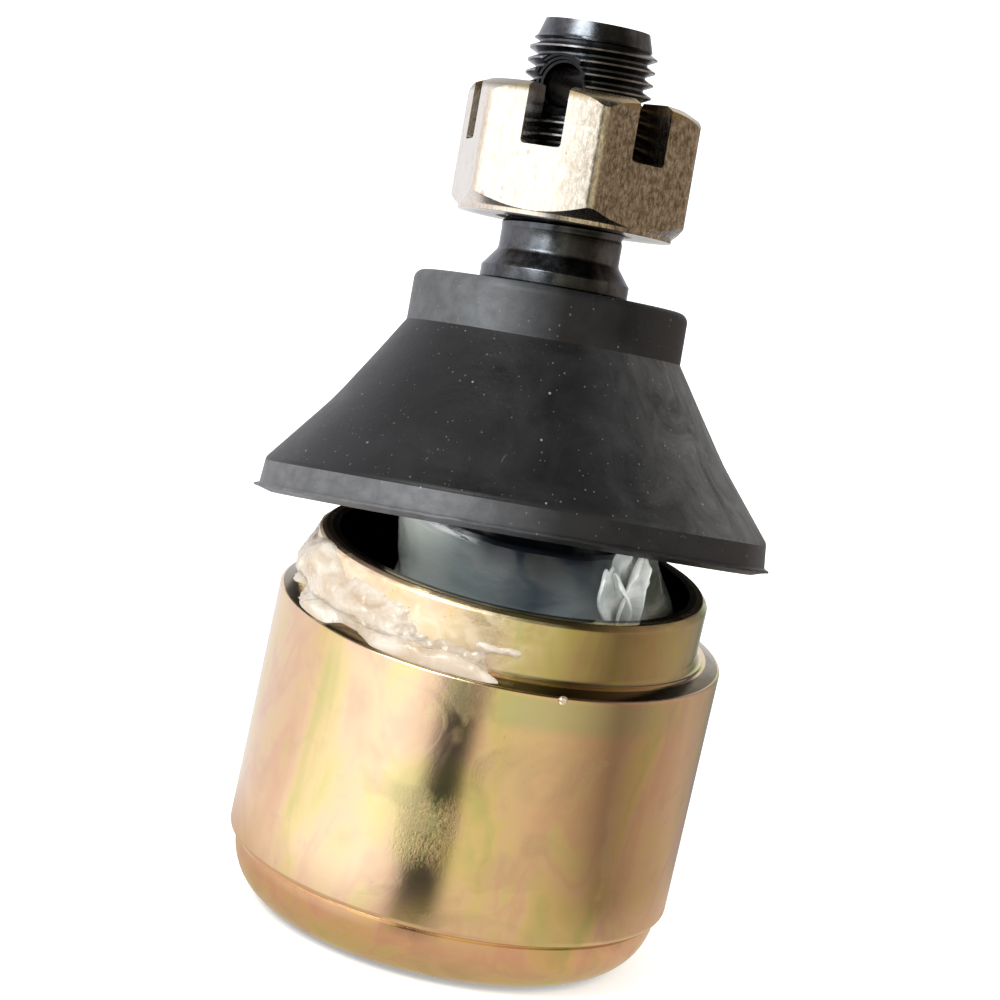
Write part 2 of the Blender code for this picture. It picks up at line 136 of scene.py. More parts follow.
# bearing, share of the way down from the rim to the body, half width, half height, thickness
SMEAR_LUMPS = [
    (-98.0, 0.45, 9.0, 0.30, 1.2),
    (-86.0, 0.62, 9.0, 0.28, 1.8),
    (-74.0, 0.46, 9.0, 0.30, 1.3),
    (-66.0, 0.33, 10.0, 0.22, 0.8),
    (-57.0, 0.72, 12.0, 0.34, 1.8),
    (-38.0, 0.53, 13.0, 0.24, 0.95),
    (-30.0, 0.80, 14.0, 0.22, 1.25),
    (-16.0, 0.90, 13.0, 0.18, 1.2),
    (-8.0, 0.84, 9.0, 0.15, 0.9),
    (-9.0, 0.66, 8.0, 0.08, 0.8),
    (1.0, 0.53, 8.0, 0.06, 0.75),
    (-1.0, 0.96, 6.0, 0.09, 0.75),
    (-79.0, 1.02, 8.0, 0.12, -2.2),
    (-41.0, 1.00, 5.0, 0.12, -2.4),
]

# View: where the camera stands, and where the ball's centre sits in its picture
VIEW_ELEVATION = math.radians(14.57)
VIEW_ROLL = math.radians(12.52)
VIEW_DISTANCE = 608.74
BALL_IN_VIEW = (-2.933, -27.161)
LENS = 198.0


# ---------------------------------------------------------------- mesh helpers


def rounded(corners, closed=True):
    """Outline points from (radius, height, rounding) corners; each rounding becomes an arc."""
    points = []
    last = len(corners) - 1
    for index, (x, y, radius) in enumerate(corners):
        here = Vector((x, y))
        if radius <= 0.0 or (not closed and index in (0, last)):
            points.append(here)
            continue
        before = (Vector(corners[index - 1][:2]) - here).normalized()
        after = (Vector(corners[(index + 1) % len(corners)][:2]) - here).normalized()
        half = before.angle(after) / 2.0
        centre = here + (before + after).normalized() * (radius / math.sin(half))
        start = here + before * (radius / math.tan(half)) - centre
        end = here + after * (radius / math.tan(half)) - centre
        turn = math.atan2(start.x * end.y - start.y * end.x, start.dot(end))
        steps = max(2, math.ceil(abs(turn) / math.radians(14.0)))
        for step in range(steps + 1):
            c, s = math.cos(turn * step / steps), math.sin(turn * step / steps)
            points.append(centre + Vector((c * start.x - s * start.y, s * start.x + c * start.y)))
    return [(point.x, point.y) for point in points]


def round_axis(angle, radius, height):
    """Point at a turn from the front, counted to the right."""
    return radius * math.sin(angle), -radius * math.cos(angle), height


def full_turn(count):
    """Angles of count points evenly round a circle."""
    return [2.0 * math.pi * k / count for k in range(count)]


def smooth_step(low, high, value):
    """0 at low, 1 at high and eased between them."""
    share = min(max((value - low) / (high - low), 0.0), 1.0)
    return share * share * (3.0 - 2.0 * share)


def grid_mesh(name, rows, around=True, looped=False):
    """Mesh through rows of points, in mm. around joins each row's ends, looped joins last row to first."""
    count = len(rows[0])
    vertices = [Vector(point) * MM for row in rows for point in row]
    faces = []
    row_pairs = [(i, i + 1) for i in range(len(rows) - 1)]
    if looped:
        row_pairs.append((len(rows) - 1, 0))
    columns = [(k, (k + 1) % count) for k in range(count if around else count - 1)]
    for upper, lower in row_pairs:
        for k, n in columns:
            faces.append((upper * count + k, upper * count + n, lower * count + n, lower * count + k))
    mesh = bpy.data.meshes.new(name)
    mesh.from_pydata(vertices, [], faces)
    return tidy(mesh)


def tidy(mesh, angle=30.0):
    """Merges points that coincide, turns the faces outward and shades smooth up to an angle."""
    bm = bmesh.new()
    bm.from_mesh(mesh)
    bmesh.ops.remove_doubles(bm, verts=bm.verts, dist=1e-7)
    bmesh.ops.dissolve_degenerate(bm, edges=bm.edges, dist=1e-8)
    bmesh.ops.recalc_face_normals(bm, faces=bm.faces)
    bm.to_mesh(mesh)
    bm.free()
    mesh.shade_smooth()
    mesh.set_sharp_from_angle(angle=math.radians(angle))
    return mesh


def turned(name, outline, segments, looped=True, wobble=None):
    """Solid of revolution of (radius, height) points. wobble(angle, radius, height) moves a point."""
    rows = []
    for radius, height in outline:
        row = []
        for angle in full_turn(segments):
            r, z = wobble(angle, radius, height) if wobble else (radius, height)
            row.append(round_axis(angle, r, z))
        rows.append(row)
    return grid_mesh(name, rows, looped=looped)


def add_object(name, data):
    made = bpy.data.objects.new(name, data)
    bpy.context.scene.collection.objects.link(made)
    return made


def place(name, mesh, look, body, matrix=UPRIGHT, stands_for=(), slot=None):
    """Puts a piece in the scene on its CAD body and hides the CAD nodes it stands for."""
    piece = add_object(name, mesh)
    piece.matrix_world = matrix
    mesh.materials.clear()
    mesh.materials.append(look)
    if body:
        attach(piece, body)
    if stands_for:
        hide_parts(*stands_for)
    return piece


def carved(mesh, cutters, angle=30.0, bevel=0.0):
    """Mesh after exact Booleans, each cutter a (mesh, operation) pair in the same frame."""
    blank = add_object("blank", mesh)
    tools = []
    for cutter, operation in cutters:
        tools.append(add_object("tool", cutter))
        modifier = blank.modifiers.new("cut", "BOOLEAN")
        modifier.operation = operation
        modifier.solver = "EXACT"
        modifier.object = tools[-1]
    if bevel:
        modifier = blank.modifiers.new("edges", "BEVEL")
        modifier.width = bevel * MM
        modifier.segments = 2
        modifier.limit_method = "ANGLE"
        modifier.angle_limit = math.radians(angle)
    bpy.context.view_layer.update()
    graph = bpy.context.evaluated_depsgraph_get()
    made = bpy.data.meshes.new_from_object(blank.evaluated_get(graph))
    for tool in tools:
        bpy.data.objects.remove(tool)
    bpy.data.objects.remove(blank)
    return tidy(made, angle)


# ---------------------------------------------------------------- material helpers


class Nodes:
    """Short calls that add nodes to a node tree. place is the vector that a bearing is read from."""

    def __init__(self, tree, place):
        self.tree = tree
        self.place = self.node("ShaderNodeTexCoord").outputs[place]

    def node(self, kind, links=(), **settings):
        made = self.tree.nodes.new(kind)
        for key, value in settings.items():
            setattr(made, key, value)
        for socket, value in dict(links).items():
            self.join(value, made.inputs[socket])
        return made

    def join(self, value, target):
        """Links a socket to the target, or sets the target to a number, a vector or a colour."""
        if isinstance(value, bpy.types.NodeSocket):
            self.tree.links.new(value, target)
        elif target.type == "RGBA" and hasattr(value, "__len__"):
            target.default_value = (*value, 1.0)
        else:
            target.default_value = value

    def math(self, operation, a, b=0.0, c=0.0):
        return self.node("ShaderNodeMath", {0: a, 1: b, 2: c}, operation=operation).outputs[0]

    def times(self, first, *factors):
        for factor in factors:
            first = self.math("MULTIPLY", first, factor)
        return first

    def split(self, vector):
        return self.node("ShaderNodeSeparateXYZ", {0: vector}).outputs

    def length(self, vector):
        return self.node("ShaderNodeVectorMath", {0: vector}, operation="LENGTH").outputs["Value"]

    def bearing(self):
        """Turn about the upright axis in radians: 0 in front, positive to the right."""
        parts = self.split(self.place)
        return self.math("ARCTAN2", parts[0], self.times(parts[1], -1.0))

    def share(self):
        """The same turn as a share of a full one: 0.25 on the left, 0.5 in front, 0.75 on the right."""
        return self.math("MULTIPLY_ADD", self.bearing(), 0.5 / math.pi, 0.5)

    def ramp(self, factor, *stops):
        node = self.node("ShaderNodeValToRGB", {0: factor})
        elements = node.color_ramp.elements
        while len(elements) < len(stops):
            elements.new(0.5)
        for element, (position, colour) in zip(elements, stops):
            element.position = position
            element.color = (*colour, 1.0) if hasattr(colour, "__len__") else (colour,) * 3 + (1.0,)
        return node.outputs[0]

    def mix(self, factor, a, b, blend="MIX"):
        node = self.node("ShaderNodeMix", {0: factor}, data_type="RGBA", blend_type=blend)
        colours = [socket for socket in node.inputs if socket.type == "RGBA"]
        self.join(a, colours[0])
        self.join(b, colours[1])
        return [socket for socket in node.outputs if socket.type == "RGBA"][0]


class Look(Nodes):
    """A Principled material and the patterns that feed it."""

    def __init__(self, name, **constants):
        self.material = bpy.data.materials.new(name)
        self.material.use_nodes = True
        super().__init__(self.material.node_tree, "Object")
        self.shader = self.tree.nodes["Principled BSDF"]
        for socket, value in constants.items():
            self.shader.inputs[socket.replace("_", " ")].default_value = value

    def feed(self, socket, value):
        self.tree.links.new(value, self.shader.inputs[socket])

    def finish(self, colour, rough, normal):
        self.feed("Base Color", colour)
        self.feed("Roughness", rough)
        self.feed("Normal", normal)
        return self.material

    def height(self):
        return self.split(self.place)[2]

    def polar(self, radius, other_way=False):
        """(arc length at a radius in mm, distance from the axis, height): follows a turned surface."""
        parts = self.split(self.place)
        turn = self.bearing()
        if other_way:
            turn = self.math("SUBTRACT", turn, self.times(self.math("SIGN", turn), 2.0 * math.pi))
        arc = self.times(turn, radius * MM)
        away = self.length(self.node("ShaderNodeCombineXYZ", {0: parts[0], 1: parts[1]}).outputs[0])
        return self.node("ShaderNodeCombineXYZ", {0: arc, 1: away, 2: parts[2]}).outputs[0]

    def stretch(self, vector, scale):
        """Vector scaled so that one unit of the result is 1 / scale millimetres each way."""
        scale = [value / MM for value in scale]
        return self.node("ShaderNodeVectorMath", {0: vector, 1: scale}, operation="MULTIPLY").outputs[0]

    def noise(self, scale, detail=3.0, roughness=0.5, distortion=0.0, along=None):
        links = {"Vector": self.stretch(along or self.place, scale), "Scale": 1.0, "Detail": detail}
        links["Roughness"] = roughness
        links["Distortion"] = distortion
        return self.node("ShaderNodeTexNoise", links).outputs["Fac"]

    def wrapped(self, radius, scale, *settings):
        """Noise along a turned surface, cross-faded behind the piece where the arc starts again."""
        near = self.noise(scale, *settings, along=self.polar(radius))
        other = self.noise(scale, *settings, along=self.polar(radius, True))
        fade = self.ramp(self.share(), (0.0, 0.5), (0.14, 0.0), (0.86, 0.0), (1.0, 0.5))
        return self.mix(fade, near, other)

    def specks(self, scale, size):
        """1 inside small round specks scattered on a lattice, 0 outside."""
        links = {"Vector": self.stretch(self.place, scale), "Scale": 1.0}
        cell = self.node("ShaderNodeTexVoronoi", links, feature="F1")
        pick = self.node("ShaderNodeSeparateColor", {0: cell.outputs["Color"]}).outputs
        radius = self.times(self.math("POWER", pick[0], 6.0), size)
        return self.math("LESS_THAN", cell.outputs["Distance"], radius)

    def bump(self, height, depth, below=None):
        """Normal bent by a height from 0 to 1 that stands for a depth in mm."""
        links = {"Height": height, "Distance": depth * MM, "Strength": 1.0}
        if below:
            links["Normal"] = below
        return self.node("ShaderNodeBump", links).outputs[0]


# ---------------------------------------------------------------- materials


def plated_look(name, radius, tint=(1.0, 1.0, 1.0), greased=False):
    """Yellow zinc chromate over turned steel: drifting gold, pink and green, with fine scratches."""
    look = Look(name, Metallic=1.0)
    wrap = look.polar(radius)
    drift = look.wrapped(radius, (0.11, 0.3, 0.05), 3.0, 0.55, 0.8)
    film = look.ramp(
        drift,
        (0.30, (0.70, 0.66, 0.31)),
        (0.41, (0.86, 0.70, 0.37)),
        (0.50, (0.88, 0.67, 0.45)),
        (0.57, (0.85, 0.60, 0.43)),
        (0.64, (0.86, 0.69, 0.41)),
        (0.74, (0.74, 0.71, 0.36)),
    )
    cloud = look.noise((0.22, 0.22, 0.3), 5.0, 0.65)
    stained = look.mix(look.ramp(cloud, (0.54, 0.0), (0.78, 0.30)), film, (0.62, 0.45, 0.30))
    scratch = look.wrapped(radius, (0.9, 1.0, 5.0), 4.0, 0.7, 0.4)
    worn_area = look.wrapped(radius, (0.10, 0.2, 0.12), 2.0, 0.5, 1.2)
    worn = look.ramp(worn_area, (0.56, 0.0), (0.66, 1.0))
    colour = look.mix(look.times(worn, 0.20), stained, (0.55, 0.45, 0.30))
    fleck_field = look.noise((1.6, 1.0, 0.9), 6.0, 0.85, 0.6, along=wrap)
    fleck_area = look.ramp(cloud, (0.45, 0.2), (0.6, 1.0))
    flecks = look.times(look.ramp(fleck_field, (0.63, 0.0), (0.70, 0.55)), fleck_area)
    colour = look.mix(flecks, colour, (0.26, 0.17, 0.10))
    if tint != (1.0, 1.0, 1.0):
        colour = look.mix(1.0, colour, tint, "MULTIPLY")
    rough = look.math("MULTIPLY_ADD", worn, 0.12, 0.13)
    rough = look.math("ADD", rough, look.times(scratch, 0.06))
    if greased:
        away = look.split(wrap)[1]
        inside = look.math("LESS_THAN", away, (COLLAR_BORE + 0.75) * MM)
        high = look.math("GREATER_THAN", look.height(), (BODY_TOP + 0.9) * MM)
        share = look.share()
        roll = look.math("DIVIDE", look.height(), ROLL_TOP * MM)
        roll_tint = look.ramp(
            roll,
            (0.10, (0.78, 0.86, 0.64)),
            (0.45, (0.88, 0.87, 0.76)),
            (0.75, (1.0, 0.87, 0.84)),
            (0.99, (1.0, 0.90, 0.88)),
            (1.0, (1.0, 1.0, 1.0)),
        )
        colour = look.mix(1.0, colour, roll_tint, "MULTIPLY")
        rise = look.math("DIVIDE", look.height(), BODY_TOP * MM)
        under_edge = look.ramp(rise, (0.87, 0.0), (0.91, 1.0), (0.985, 1.0), (0.995, 0.0))
        green_side = look.ramp(share, (0.495, 0.0), (0.52, 0.65), (0.61, 0.5), (0.70, 0.0))
        colour = look.mix(look.times(under_edge, green_side), colour, (0.58, 0.66, 0.38))
        right_side = look.ramp(share, (0.45, 0.0), (0.54, 1.0), (0.80, 1.0), (0.98, 0.0))
        olive = look.times(right_side, high)
        colour = look.mix(olive, colour, look.mix(1.0, colour, (0.66, 0.74, 0.56), "MULTIPLY"))
        # painted shade: the shoulder's slope painted dark brown
        from_slope = look.math("ABSOLUTE", look.math("SUBTRACT", away, SLOPE_MIDDLE * MM))
        on_slope = look.math("LESS_THAN", from_slope, SLOPE_HALF * MM)
        on_top = look.math("GREATER_THAN", look.height(), (BODY_TOP - 0.2) * MM)
        slope = look.times(on_slope, on_top, 0.85)
        colour = look.mix(slope, colour, (0.10, 0.075, 0.040))
        # painted shade: the collar's bore and the inner part of its rim painted near black
        colour = look.mix(look.times(inside, 0.93), colour, (0.035, 0.028, 0.018))
        sector = look.ramp(share, (0.20, 0.0), (0.26, 0.85), (0.46, 0.85), (0.56, 0.0))
        below = look.math("LESS_THAN", look.height(), (RIM_HEIGHT - 0.4) * MM)
        high = look.times(high, below)
        patch = look.noise((0.35, 0.35, 0.45), 4.0, 0.65, 0.8)
        outside = look.math("SUBTRACT", 1.0, inside)
        film = look.times(sector, high, look.ramp(patch, (0.30, 0.45), (0.62, 1.0)), outside)
        film_colour = look.ramp(patch, (0.35, (0.56, 0.39, 0.25)), (0.60, (0.74, 0.62, 0.46)))
        colour = look.mix(film, colour, film_colour)
        look.feed("Metallic", look.math("SUBTRACT", 1.0, look.times(film, 0.75)))
        rough = look.math("ADD", rough, look.times(film, 0.25))
    lines = look.noise((0.03, 2.0, 9.0), 2.0, 0.6, along=wrap)
    turned_marks = look.bump(lines, 0.0016)
    scuff = look.times(look.noise((2.2, 2.0, 0.8), 4.0, 0.7, 1.0, along=wrap), worn)
    scuffed = look.bump(scuff, 0.015, turned_marks)
    if greased:
        strip = look.ramp(look.share(), (0.445, 0.0), (0.47, 1.0), (0.49, 1.0), (0.505, 0.0))
        crackle = look.noise((2.6, 1.0, 1.7), 5.0, 0.70, 1.0, along=wrap)
        half_way_up = (0.45, 1.0), (0.56, 1.0)
        patchy = look.ramp(rise, (0.36, 0.10), *half_way_up, (0.64, 0.12), (0.86, 0.10), (0.97, 0.3))
        field = look.times(crackle, strip, patchy)
        scuffed = look.bump(field, 0.055, scuffed)
    return look.finish(colour, rough, look.bump(scratch, 0.0025, scuffed))


def nut_look():
    """Zinc plated nut: pale faces with brown stains, brushed along the axis."""
    look = Look("nut_plating", Metallic=1.0)
    streak = look.noise((4.5, 4.5, 0.9), 5.0, 0.72, 0.2)
    stain = look.noise((0.35, 0.35, 0.28), 5.0, 0.7, 0.5)
    base = look.ramp(streak, (0.30, (0.72, 0.64, 0.53)), (0.60, (0.90, 0.86, 0.78)))
    colour = look.mix(look.ramp(stain, (0.54, 0.0), (0.78, 0.5)), base, (0.58, 0.44, 0.30))
    spots = look.specks((0.9, 0.9, 0.9), 0.3)
    colour = look.mix(look.times(spots, 0.4), colour, (0.40, 0.30, 0.20))
    # the right faces darker brown in blotches
    right_faces = look.ramp(look.share(), (0.52, 0.0), (0.60, 1.0), (0.80, 1.0), (0.97, 0.0))
    blotch = look.noise((2.2, 2.2, 1.1), 7.0, 0.82, 0.3)
    darker_right = look.times(right_faces, look.ramp(blotch, (0.42, 0.90), (0.62, 0.15)))
    colour = look.mix(darker_right, colour, (0.15, 0.115, 0.06))
    bronze = look.ramp(look.math("DIVIDE", look.height(), NUT_HEIGHT * MM), (0.90, 0.0), (0.945, 0.90))
    bronze_colour = look.ramp(look.share(), (0.50, (0.17, 0.12, 0.045)), (0.58, (0.46, 0.34, 0.17)))
    colour = look.mix(bronze, colour, bronze_colour)
    # painted shade: darker towards the bore, inside the slots
    reach = 12.0
    away = look.split(look.polar(reach))[1]
    deep = look.ramp(look.math("DIVIDE", away, reach * MM), (0.80, 0.85), (0.98, 0.0))
    colour = look.mix(deep, colour, (0.07, 0.045, 0.022))
    rough = look.ramp(streak, (0.3, 0.16), (0.7, 0.30))
    grain = look.noise((2.0, 2.0, 2.0), 4.0, 0.6)
    return look.finish(colour, rough, look.bump(grain, 0.010, look.bump(streak, 0.012)))


def oxide_look():
    """Black oxide on the turned and rolled stud, with painted highlights on the crests."""
    look = Look("black_oxide", Metallic=1.0)
    wrap = look.polar(SHANK_RADIUS)
    rings = look.noise((0.05, 1.0, 3.2), 3.0, 0.6, along=wrap)
    patch = look.noise((0.6, 0.6, 0.5), 4.0, 0.65)
    colour = look.ramp(patch, (0.35, (0.066, 0.073, 0.084)), (0.62, (0.145, 0.158, 0.178)))
    parts = look.split(wrap)
    crest = look.math("GREATER_THAN", parts[1], (THREAD_CREST - 0.10) * MM)
    threaded = look.math("GREATER_THAN", parts[2], THREAD_START * MM)
    # painted highlight along the thread crests
    painted_sheen = look.times(crest, threaded, patch)
    colour = look.mix(painted_sheen, colour, (0.62, 0.60, 0.60))
    rust = look.ramp(look.noise((0.8, 0.8, 1.4), 4.0, 0.7), (0.62, 0.0), (0.76, 0.22))
    colour = look.mix(rust, colour, (0.13, 0.075, 0.045))
    # painted reflection: a dark band down the front right of the shank and thread
    side = look.ramp(look.share(), (0.495, 0.0), (0.525, 0.75), (0.575, 0.75), (0.61, 0.0))
    colour = look.mix(side, colour, (0.022, 0.022, 0.024))
    # painted shade in and round the cotter hole
    aim = (math.cos(COTTER_TURN), math.sin(COTTER_TURN), 0.0)
    beside = look.node("ShaderNodeVectorMath", {0: look.place, 1: aim}, operation="DOT_PRODUCT")
    beside = beside.outputs["Value"]
    above = look.math("SUBTRACT", look.height(), COTTER_HEIGHT * MM)
    square = look.math("ADD", look.times(beside, beside), look.times(above, above))
    near = look.math("LESS_THAN", square, (3.5 * MM) ** 2)
    colour = look.mix(look.times(near, 0.8), colour, (0.012, 0.012, 0.013))
    rough = look.ramp(patch, (0.3, 0.20), (0.7, 0.34))
    grain = look.noise((2.5, 2.5, 2.5), 4.0, 0.65)
    return look.finish(colour, rough, look.bump(grain, 0.012, look.bump(rings, 0.008)))


def rubber_look():
    """Moulded rubber: painted sheen on the hub, cone and rim band, dust down one side, pale specks."""
    look = Look("boot_rubber", Metallic=0.0, Specular_IOR_Level=0.24)
    wrap = look.polar(22.0)
    height = look.height()
    share = look.share()
    bloom = look.noise((0.10, 0.10, 0.12), 5.0, 0.6, 0.5)
    mottle = look.noise((0.5, 0.5, 0.6), 5.0, 0.65)
    base = look.ramp(bloom, (0.35, (0.0045, 0.0045, 0.005)), (0.70, (0.013, 0.013, 0.014)))
    on_hub = look.math("GREATER_THAN", height, BOOT_HUB_BOTTOM * MM)
    on_band = look.math("LESS_THAN", height, (BOOT_BAND_TOP - 0.25) * MM)
    on_cone = look.math("SUBTRACT", look.math("SUBTRACT", 1.0, on_hub), on_band)
    streak = look.wrapped(22.0, (0.20, 0.2, 0.08), 6.0, 0.70, 1.0)
    dusty = look.ramp(share, (0.54, 0.0), (0.61, 0.22), (0.66, 0.58), (0.72, 0.70), (0.80, 0.3), (0.97, 0.0))
    dust = look.times(look.ramp(streak, (0.34, 0.25), (0.66, 1.0)), dusty)
    base = look.mix(look.times(dust, on_cone), base, (0.155, 0.155, 0.15))
    # painted sheen on the left of the cone
    cone_sheen = look.ramp(share, (0.03, 0.0), (0.20, 0.30), (0.30, 0.24), (0.38, 0.08), (0.46, 0.0))
    base = look.mix(look.times(cone_sheen, on_cone), base, (0.055, 0.062, 0.070))
    cloudy = look.ramp(mottle, (0.3, 0.6), (0.65, 1.0))
    # painted light on the left of the hub
    lit = look.ramp(share, (0.03, 0.0), (0.25, 0.42), (0.38, 0.50), (0.43, 0.62), (0.475, 0.22), (0.52, 0.0))
    hub = look.times(lit, on_hub, cloudy)
    base = look.mix(hub, base, (0.19, 0.20, 0.21))
    # painted sheen round the rim band, dark at the front
    stops = (0.22, 0.50), (0.45, 0.62), (0.49, 0.30), (0.53, 0.02), (0.68, 0.02), (0.76, 0.35), (1.0, 0.35)
    painted_sheen = look.ramp(share, (0.0, 0.35), *stops)
    band = look.times(painted_sheen, on_band, cloudy)
    base = look.mix(band, base, (0.20, 0.205, 0.215))
    fine = look.specks((2.1, 2.1, 1.7), 0.26)
    coarse = look.specks((0.60, 0.60, 0.50), 0.10)
    base = look.mix(look.times(fine, 0.20), base, (0.34, 0.33, 0.31))
    base = look.mix(look.times(coarse, 0.40), base, (0.42, 0.38, 0.31))
    scuff_field = look.noise((1.1, 0.5, 0.5), 6.0, 0.8, 0.8, along=wrap)
    base = look.mix(look.ramp(scuff_field, (0.64, 0.0), (0.72, 0.22)), base, (0.25, 0.25, 0.25))
    rough = look.ramp(bloom, (0.3, 0.36), (0.7, 0.52))
    grain = look.noise((1.6, 1.6, 1.6), 5.0, 0.7)
    flow = look.noise((0.05, 0.6, 1.1), 3.0, 0.6, along=wrap)
    return look.finish(base, rough, look.bump(grain, 0.035, look.bump(flow, 0.02)))


def grease_look(name, deep, thin, gloss, cloudy=0.5, ripple=0.03):
    """Wet translucent grease, from its deep colour to the paler colour of its thin folds."""
    look = Look(name, Metallic=0.0, IOR=1.47, Subsurface_Weight=0.35, Subsurface_Scale=0.0025)
    look.shader.inputs["Subsurface Radius"].default_value = (1.0, 1.05, 0.9)
    swirl = look.noise((0.16, 0.16, 0.30), 4.0, 0.55, 1.0)
    colour = look.ramp(swirl, (0.5 - 0.25 * cloudy, deep), (0.5 + 0.25 * cloudy, thin))
    streaks = look.noise((0.5, 0.5, 1.4), 4.0, 0.6, 2.0)
    rough = look.ramp(streaks, (0.35, gloss), (0.75, gloss + 0.18))
    return look.finish(colour, rough, look.bump(streaks, ripple))


def plug_look():
    """Clear wet grease: milky on the left with a painted highlight along its top edge, painted shade and
    dark reflection making it slate towards the front and near black in the hollow on top.
    """
    look = Look("wet_grease", Metallic=0.0, IOR=1.47, Subsurface_Weight=0.25, Subsurface_Scale=0.002)
    look.shader.inputs["Subsurface Radius"].default_value = (1.0, 1.05, 1.0)
    share = look.share()
    # milky grease on the left; painted shade and dark reflection towards the front and right
    colour = look.ramp(
        share,
        (0.0, (0.40, 0.43, 0.41)),
        (0.25, (0.88, 0.93, 0.86)),
        (0.34, (0.84, 0.90, 0.84)),
        (0.43, (0.26, 0.31, 0.31)),
        (0.53, (0.055, 0.07, 0.082)),
        (0.58, (0.16, 0.19, 0.20)),
        (0.63, (0.50, 0.53, 0.52)),
        (0.68, (0.10, 0.11, 0.08)),
        (0.80, (0.10, 0.11, 0.08)),
        (1.0, (0.40, 0.43, 0.41)),
    )
    swirl = look.noise((0.12, 0.12, 0.35), 4.0, 0.55, 0.8)
    colour = look.mix(look.ramp(swirl, (0.45, 0.0), (0.70, 0.30)), colour, (0.36, 0.39, 0.38))
    rise = look.math("DIVIDE", look.height(), PLUG_TOP * MM)
    # painted shade: near black in the hollow under the boot
    front = look.ramp(share, (0.40, 0.0), (0.47, 1.0), (0.59, 1.0), (0.63, 0.0))
    deep = look.times(front, look.ramp(rise, (0.90, 0.0), (0.985, 0.92)))
    colour = look.mix(deep, colour, (0.010, 0.013, 0.022))
    torn = look.noise((0.35, 0.35, 2.6), 4.0, 0.6, 0.6)
    # painted highlight along the wet top edge on the left
    crest = look.ramp(rise, (0.978, 0.0), (0.984, 1.0))
    lit = look.ramp(share, (0.355, 0.0), (0.375, 1.0), (0.43, 1.0), (0.455, 0.0))
    glint = look.times(crest, lit, look.ramp(torn, (0.42, 0.0), (0.5, 0.9)))
    colour = look.mix(glint, colour, (0.93, 0.97, 0.98))
    streaks = look.noise((0.3, 0.3, 1.2), 4.0, 0.6, 1.0)
    rough = look.ramp(streaks, (0.35, 0.07), (0.75, 0.18))
    return look.finish(colour, rough, look.bump(streaks, 0.05))


def oil_look():
    """Clear oil with a faint cloud in it."""
    look = Look("clear_oil", Metallic=0.0, IOR=1.45, Transmission_Weight=0.9)
    cloud = look.noise((2.0, 2.0, 2.0), 2.0, 0.5)
    look.feed("Base Color", look.ramp(cloud, (0.35, (0.86, 0.86, 0.80)), (0.65, (0.95, 0.95, 0.93))))
    look.feed("Roughness", look.ramp(cloud, (0.3, 0.02), (0.7, 0.06)))
    return look.material


def steel_look(name, dark, light, roughness, radius, grain=0.01):
    """Plain turned or pressed steel for the pieces inside."""
    look = Look(name, Metallic=1.0)
    wrap = look.polar(radius)
    rings = look.noise((0.03, 3.0, 4.0), 3.0, 0.6, along=wrap)
    cloud = look.noise((0.3, 0.3, 0.3), 4.0, 0.6)
    colour = look.ramp(cloud, (0.35, dark), (0.65, light))
    rough = look.ramp(rings, (0.3, roughness), (0.7, roughness + 0.18))
    return look.finish(colour, rough, look.bump(rings, grain))


def plastic_look(name, dark, light):
    """Moulded acetal with a faint flow pattern."""
    look = Look(name, Metallic=0.0, Subsurface_Weight=0.1, Subsurface_Scale=0.002)
    flow = look.noise((0.2, 0.2, 0.5), 4.0, 0.6, 0.6)
    colour = look.ramp(flow, (0.35, dark), (0.65, light))
    rough = look.ramp(flow, (0.3, 0.38), (0.7, 0.5))
    return look.finish(colour, rough, look.bump(look.noise((2.0, 2.0, 2.0)), 0.006))


# ---------------------------------------------------------------- pieces


def make_housing(look):
    """Cup with a collar and a shoulder; the skirt is rolled in below a fine crease."""
    corners = [
        (COLLAR_BORE, RIM_HEIGHT, 0.25),
        (COLLAR_RADIUS - 0.65, RIM_HEIGHT, 0.25),
        (COLLAR_RADIUS, RIM_HEIGHT - 0.7, 0.4),
        (COLLAR_RADIUS, SHOULDER_TOP, 0.75),
        (COLLAR_RADIUS + 0.9, SHOULDER_TOP - 0.05, 0.25),
        (BODY_RADIUS, BODY_TOP, 0.32),
        (BODY_RADIUS, 6.75, 0.75),
        (BODY_RADIUS - 0.72, 6.58, 0.12),
        (BODY_RADIUS - 1.12, 6.33, 0.06),
        (BODY_RADIUS - 0.90, ROLL_TOP, 0.12),
    ]
    outline = rounded(corners, closed=False)
    outer = BODY_RADIUS - 0.90
    for step in range(1, 15):
        angle = math.radians(90.0 * step / 14)
        radius = ROLL_INNER + (outer - ROLL_INNER) * math.cos(angle)
        outline.append((radius, ROLL_TOP * (1 - math.sin(angle))))
    outline += rounded([
        (ROLL_INNER, 0.0, 0.0),
        (LIP_RADIUS, 0.0, 0.25),
        (LIP_RADIUS, LIP_THICKNESS, 0.1),
        (BORE_RADIUS, LIP_THICKNESS, 0.1),
        (BORE_RADIUS, TOP_WALL, 0.3),
        (MOUTH_RADIUS, TOP_WALL, 0.3),
        (MOUTH_RADIUS, WELL_FLOOR - 0.8, 0.3),
        (MOUTH_RADIUS + 0.8, WELL_FLOOR, 0.3),
        (COLLAR_BORE, WELL_FLOOR, 0.5),
        (COLLAR_BORE, RIM_HEIGHT - 0.3, 0.0),
    ], closed=False)[1:]
    mesh = turned("housing_shell", outline, 224)
    place("housing_shell", mesh, look, "housing", stands_for=["housing"], slot="housing")


def thread_radius(turns):
    """Radius of a rolled thread at a height counted in pitches: flat crest, sloped flanks, round root."""
    share = abs((turns % 1.0) - 0.5) * 2.0
    ramp = min(max((share - 0.14) / 0.70, 0.0), 1.0)
    return THREAD_CREST + (THREAD_ROOT - THREAD_CREST) * ramp


